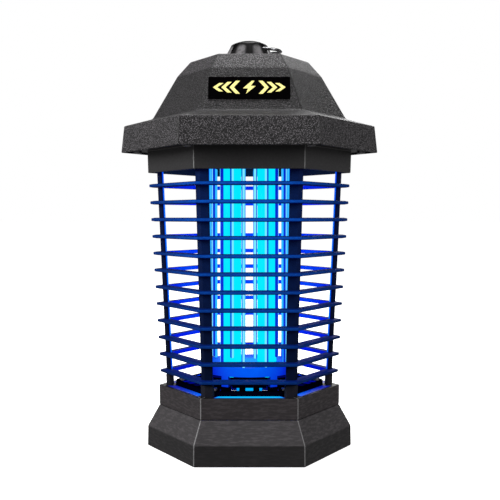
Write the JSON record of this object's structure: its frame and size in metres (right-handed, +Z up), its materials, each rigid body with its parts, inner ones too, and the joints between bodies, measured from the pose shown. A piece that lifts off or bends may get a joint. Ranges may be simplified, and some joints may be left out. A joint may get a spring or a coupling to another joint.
{
  "type": "electric bug zapper",
  "caption": "Hexagonal lantern insect killer: ringed guard around a live rod grid and UV lamp, brimmed hood with a folding hanging loop, and a flared tray that pulls off below.",
  "frame": {"origin": "centre of the underside of the tray, on the surface it stands on", "axes": "+Z up the lantern's axis, -Y out of the front face that carries the name plate, +X towards the folded hanging loop"},
  "size_m": [0.2, 0.1732, 0.3164],
  "materials": {
    "charcoal_moulding": "satin, faint brushed grain",
    "pebbled_moulding": "coarse pebbled moulding",
    "smooth_black_moulding": "smooth satin",
    "cap_moulding": "satin",
    "cage_blue": "satin, lit blue by the lamp",
    "grid_wire": "satin",
    "blue_insulator": "satin, translucent look",
    "white_insulator": "satin",
    "lamp_glass": "coated lamp glass",
    "brass_conductor": "rolled",
    "plated_steel": "zinc plated",
    "screw_steel": "zinc plated",
    "bail_wire": "drawn wire, dark",
    "rubber_pad": "matt",
    "plate_black": "gloss",
    "motif_yellow": "printed relief",
    "board_laminate": "solder mask",
    "potting_black": "cast resin",
    "capacitor_blue": "dipped",
    "ferrite_yellow": "taped winding",
    "terminal_green": "satin",
    "fuse_glass": "clear",
    "lead_insulation": "extruded"
  },
  "bodies": {
    "lantern": {"base_ring": "charcoal_moulding", "floor_grille": "cage_blue", "floor_screws": "screw_steel", "guard_posts": "cage_blue", "guard_ring_01": "cage_blue", "guard_ring_02": "cage_blue", "guard_ring_03": "cage_blue", "guard_ring_04": "cage_blue", "guard_ring_05": "cage_blue", "guard_ring_06": "cage_blue", "guard_ring_07": "cage_blue", "guard_ring_08": "cage_blue", "guard_ring_09": "cage_blue", "guard_ring_10": "cage_blue", "guard_ring_11": "cage_blue", "guard_ring_12": "cage_blue", "post_foot_screws": "screw_steel", "post_head_screws": "screw_steel", "head_frame": "smooth_black_moulding", "upper_insulator": "white_insulator", "live_rods": "grid_wire", "live_bus_ring": "brass_conductor", "lower_insulator_front": "blue_insulator", "lower_insulator_rear": "blue_insulator", "earth_rods": "grid_wire", "earth_bus_ring": "brass_conductor", "earth_strap": "brass_conductor", "uv_lamp": "lamp_glass", "lamp_base": "white_insulator", "lamp_holder": "white_insulator", "holder_bracket": "plated_steel", "lamp_leads": "lead_insulation", "board_pillars": "white_insulator", "circuit_board": "board_laminate", "board_screws": "screw_steel", "hv_transformer": "potting_black", "hv_capacitors": "capacitor_blue", "ballast_choke": "ferrite_yellow", "smoothing_capacitor": "potting_black", "terminal_block": "terminal_green", "fuse": "fuse_glass", "hv_lead": "lead_insulation", "hood": "pebbled_moulding", "hood_screws": "screw_steel", "name_plate": "plate_black", "plate_motif": "motif_yellow", "cord_gland": "rubber_pad", "cap_gasket": "rubber_pad", "hanger_cap": "cap_moulding", "hanger_bolt": "plated_steel", "hanger_washer": "plated_steel"},
    "tray": {"collection_tray": "charcoal_moulding", "foot_pads": "rubber_pad"},
    "bail": {"hanging_bail": "bail_wire"}
  },
  "joints": [
    {"name": "tray_release", "type": "slide", "parent": "lantern", "child": "tray", "axis": [0, 0, -1], "range_m": [0, 0.04]},
    {"name": "bail_swing", "type": "hinge", "parent": "lantern", "child": "bail", "pos_m": [0, 0, 0.3095], "axis": [0, -1, 0], "range_deg": [0, 180]}
  ]
}
